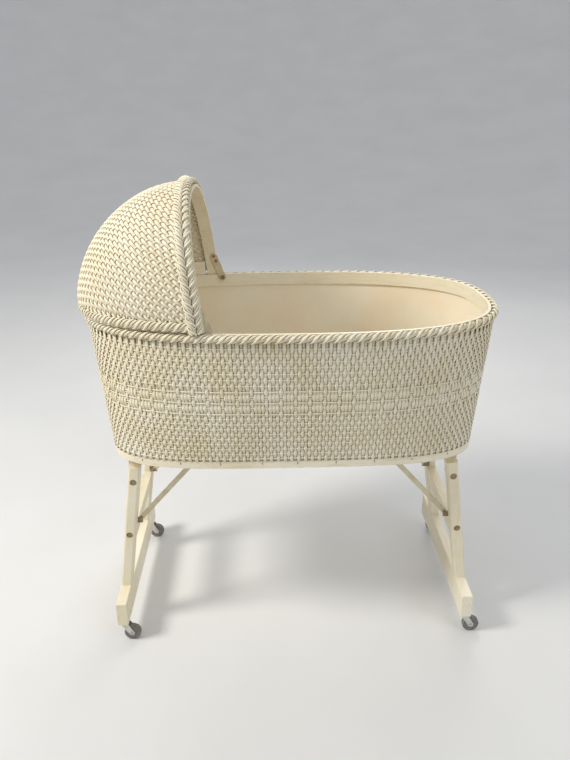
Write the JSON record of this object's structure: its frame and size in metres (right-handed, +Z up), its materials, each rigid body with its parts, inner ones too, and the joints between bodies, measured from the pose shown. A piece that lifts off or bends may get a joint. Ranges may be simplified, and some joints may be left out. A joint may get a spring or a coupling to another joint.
{
  "type": "bassinet on stand",
  "caption": "Oval woven wicker bassinet with a tilting wicker hood, carried on two folding timber leg frames with swivel casters.",
  "frame": {"origin": "on the floor, under the middle of the whole bassinet with its hood", "axes": "+X towards the foot end (hood at -X), +Y across to the far side, +Z up"},
  "size_m": [0.8938, 0.504, 1.0133],
  "materials": {
    "painted_wicker": "cream gloss paint over woven cane and paper cord",
    "painted_timber": "cream painted timber, worn at the edges",
    "lining_board": "smooth cream painted board",
    "plain_board": "pale painted plywood",
    "painted_steel": "cream painted flat steel",
    "fastener_steel": "dull dark steel",
    "caster_steel": "bright zinc-plated steel",
    "caster_tyre": "dark hard rubber"
  },
  "bodies": {
    "basket": {"base_board": "plain_board", "base_nails": "fastener_steel", "base_rail": "painted_timber", "body_lining": "lining_board", "bracket_screws": "painted_steel", "foot_hinge_bracket_far": "painted_steel", "foot_hinge_bracket_near": "painted_steel", "foot_pivot_bolts": "fastener_steel", "guide_plate_far": "painted_steel", "guide_plate_near": "painted_steel", "head_hinge_bracket_far": "painted_steel", "head_hinge_bracket_near": "painted_steel", "head_pivot_bolts": "fastener_steel", "hood_pivot_screws": "fastener_steel", "mattress_board": "plain_board", "rim_band": "painted_timber", "rim_braid": "painted_wicker", "woven_body": "painted_wicker"},
    "foot_frame": {"foot_caster_sockets": "caster_steel", "foot_foot_rail": "painted_timber", "foot_leg_far": "painted_timber", "foot_leg_near": "painted_timber", "foot_spreader": "painted_timber", "foot_spreader_bolts": "fastener_steel", "foot_stay_lugs": "painted_steel"},
    "foot_far_swivel": {"foot_far_caster_axle": "caster_steel", "foot_far_caster_fork": "caster_steel"},
    "foot_far_wheel": {"foot_far_caster_wheel": "caster_tyre"},
    "foot_near_swivel": {"foot_near_caster_axle": "caster_steel", "foot_near_caster_fork": "caster_steel"},
    "foot_near_wheel": {"foot_near_caster_wheel": "caster_tyre"},
    "foot_stays": {"foot_stay_far": "painted_steel", "foot_stay_near": "painted_steel", "foot_stay_pins": "painted_steel"},
    "head_frame": {"head_caster_sockets": "caster_steel", "head_foot_rail": "painted_timber", "head_leg_far": "painted_timber", "head_leg_near": "painted_timber", "head_spreader": "painted_timber", "head_spreader_bolts": "fastener_steel", "head_stay_lugs": "painted_steel"},
    "head_far_swivel": {"head_far_caster_axle": "caster_steel", "head_far_caster_fork": "caster_steel"},
    "head_far_wheel": {"head_far_caster_wheel": "caster_tyre"},
    "head_near_swivel": {"head_near_caster_axle": "caster_steel", "head_near_caster_fork": "caster_steel"},
    "head_near_wheel": {"head_near_caster_wheel": "caster_tyre"},
    "head_stays": {"head_stay_far": "painted_steel", "head_stay_near": "painted_steel", "head_stay_pins": "painted_steel"},
    "hood": {"hood_base_band": "painted_timber", "hood_base_braid": "painted_wicker", "hood_bow": "painted_timber", "hood_front_braid": "painted_wicker", "hood_strap_far": "painted_steel", "hood_strap_near": "painted_steel", "hood_weave": "painted_wicker", "strap_rivets": "fastener_steel"}
  },
  "joints": [
    {"name": "hood_tilt", "type": "hinge", "parent": "basket", "child": "hood", "pos_m": [-0.1545, 0, 0.747], "axis": [0, 1, 0], "range_deg": [0, 70]},
    {"name": "head_fold", "type": "hinge", "parent": "basket", "child": "head_frame", "pos_m": [-0.3455, 0, 0.385], "axis": [0, -1, 0], "range_deg": [0, 98]},
    {"name": "head_stay_swing", "type": "hinge", "parent": "head_frame", "child": "head_stays", "pos_m": [-0.3455, 0, 0.268], "axis": [0, -1, 0], "range_deg": [-136.1, 0.5]},
    {"name": "head_near_swivel_turn", "type": "hinge", "parent": "head_frame", "child": "head_near_swivel", "pos_m": [-0.3865, -0.2, 0.03], "axis": [0, 0, 1], "continuous": true},
    {"name": "head_near_wheel_spin", "type": "hinge", "parent": "head_near_swivel", "child": "head_near_wheel", "pos_m": [-0.3695, -0.2, 0.019], "axis": [0, 1, 0], "continuous": true},
    {"name": "head_far_swivel_turn", "type": "hinge", "parent": "head_frame", "child": "head_far_swivel", "pos_m": [-0.3865, 0.2, 0.03], "axis": [0, 0, 1], "continuous": true},
    {"name": "head_far_wheel_spin", "type": "hinge", "parent": "head_far_swivel", "child": "head_far_wheel", "pos_m": [-0.3695, 0.2, 0.019], "axis": [0, 1, 0], "continuous": true},
    {"name": "foot_fold", "type": "hinge", "parent": "basket", "child": "foot_frame", "pos_m": [0.3605, 0, 0.385], "axis": [0, 1, 0], "range_deg": [0, 86]},
    {"name": "foot_stay_swing", "type": "hinge", "parent": "foot_frame", "child": "foot_stays", "pos_m": [0.3605, 0, 0.268], "axis": [0, 1, 0], "range_deg": [-118.1, 0.5]},
    {"name": "foot_near_swivel_turn", "type": "hinge", "parent": "foot_frame", "child": "foot_near_swivel", "pos_m": [0.4015, -0.2, 0.03], "axis": [0, 0, 1], "continuous": true},
    {"name": "foot_near_wheel_spin", "type": "hinge", "parent": "foot_near_swivel", "child": "foot_near_wheel", "pos_m": [0.4185, -0.2, 0.019], "axis": [0, 1, 0], "continuous": true},
    {"name": "foot_far_swivel_turn", "type": "hinge", "parent": "foot_frame", "child": "foot_far_swivel", "pos_m": [0.4015, 0.2, 0.03], "axis": [0, 0, 1], "continuous": true},
    {"name": "foot_far_wheel_spin", "type": "hinge", "parent": "foot_far_swivel", "child": "foot_far_wheel", "pos_m": [0.4185, 0.2, 0.019], "axis": [0, 1, 0], "continuous": true}
  ],
  "couplings": [
    {"joint": "head_stay_swing", "follows": "head_fold", "ratio": -1.384},
    {"joint": "foot_stay_swing", "follows": "foot_fold", "ratio": -1.3669}
  ]
}
